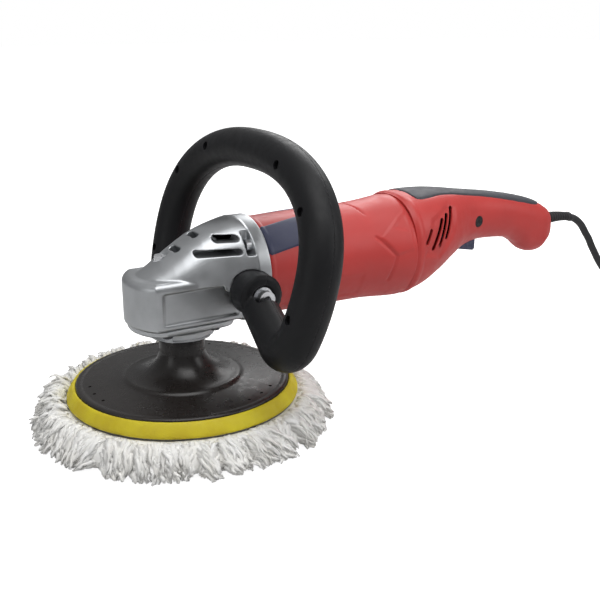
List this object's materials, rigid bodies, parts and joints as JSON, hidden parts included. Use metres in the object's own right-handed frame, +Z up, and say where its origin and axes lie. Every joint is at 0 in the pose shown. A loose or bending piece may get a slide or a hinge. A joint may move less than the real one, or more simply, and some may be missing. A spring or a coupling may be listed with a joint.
{
  "type": "rotary polisher",
  "caption": "Corded rotary polisher with a wool pad, an aluminium gear head, a loop handle and a red motor housing with a rear trigger handle.",
  "frame": {"origin": "on the spindle axis, in the plane that the wool pad stands on", "axes": "+Z up along the spindle, +X from the gear head to the rear handle along the motor axis, -Y to the operator's left"},
  "size_m": [0.7335, 0.2682, 0.2203],
  "materials": {
    "wool": "long tufted wool pile",
    "hook": "hook fastener cloth",
    "foam": "moulded yellow foam",
    "plate": "satin moulded black",
    "steel": "machined",
    "gear_steel": "hardened, oiled",
    "cast_alloy": "satin die cast",
    "bronze": "sintered",
    "red_plastic": "fine satin texture",
    "navy_plastic": "satin",
    "black_plastic": "satin, fine grain",
    "grip_rubber": "soft overmould",
    "core_iron": "laminated sheet",
    "copper": "varnished wire",
    "carbon": "pressed graphite",
    "brass": "stamped",
    "screw_black": "blackened",
    "cord_rubber": "matt sheath"
  },
  "bodies": {
    "machine": {"gear_case": "cast_alloy", "bearing_cover": "cast_alloy", "cover_screws": "screw_black", "spindle_bearing": "steel", "spindle_bush": "bronze", "front_bearing": "steel", "bearing_plate": "steel", "flange_screws": "steel", "baffle_ring": "black_plastic", "spindle_lock_spring": "steel", "motor_housing": "red_plastic", "side_trims": "navy_plastic", "stator_core": "core_iron", "field_coils": "copper", "brush_holders": "brass", "brushes": "carbon", "brush_springs": "steel", "rear_bearing": "steel", "handle_shell_left": "red_plastic", "handle_shell_right": "red_plastic", "handle_screws": "screw_black", "soft_grip": "grip_rubber", "switch_body": "black_plastic", "trigger_pin": "steel", "cord_clamp": "black_plastic", "clamp_screws": "steel", "strain_relief": "cord_rubber", "loop_front_shell": "black_plastic", "loop_rear_shell": "black_plastic", "loop_screws": "screw_black", "loop_sleeves": "steel", "loop_bolts": "steel", "loop_washers": "steel", "cord": "cord_rubber", "cord_coil": "cord_rubber", "plug_body": "cord_rubber", "plug_pins": "brass"},
    "spindle_assembly": {"wool_pad": "wool", "hook_disc": "hook", "backing_foam": "foam", "backing_plate": "plate", "hub_insert": "steel", "spindle": "steel", "crown_gear": "gear_steel"},
    "armature": {"armature_shaft": "steel", "armature_core": "core_iron", "armature_windings": "copper", "commutator": "copper", "fan": "black_plastic", "pinion": "gear_steel", "pinion_nut": "steel"},
    "trigger_lever": {"trigger": "navy_plastic"},
    "lock_on": {"lock_button": "black_plastic"},
    "spindle_stop": {"spindle_lock": "steel"}
  },
  "joints": [
    {"name": "spindle_spin", "type": "hinge", "parent": "machine", "child": "spindle_assembly", "pos_m": [0, 0, 0], "axis": [0, 0, 1], "continuous": true},
    {"name": "armature_spin", "type": "hinge", "parent": "machine", "child": "armature", "pos_m": [0, 0, 0.114], "axis": [1, 0, 0], "continuous": true},
    {"name": "trigger_pull", "type": "hinge", "parent": "machine", "child": "trigger_lever", "pos_m": [0.262, 0, 0.114], "axis": [0, -1, 0], "range_deg": [0, 12], "stiffness_Nm_per_rad": 0.6, "springref_deg": -11.46},
    {"name": "lock_on_press", "type": "slide", "parent": "machine", "child": "lock_on", "axis": [0, 1, 0], "range_m": [0, 0.003], "stiffness_N_per_m": 400, "springref_m": -0.003},
    {"name": "spindle_lock_press", "type": "slide", "parent": "machine", "child": "spindle_stop", "axis": [0, 0, -1], "range_m": [0, 0.004], "stiffness_N_per_m": 600, "springref_m": -0.004, "deforming": ["spindle_lock_spring"]}
  ],
  "couplings": [
    {"joint": "armature_spin", "follows": "spindle_spin", "ratio": 3.4545}
  ]
}
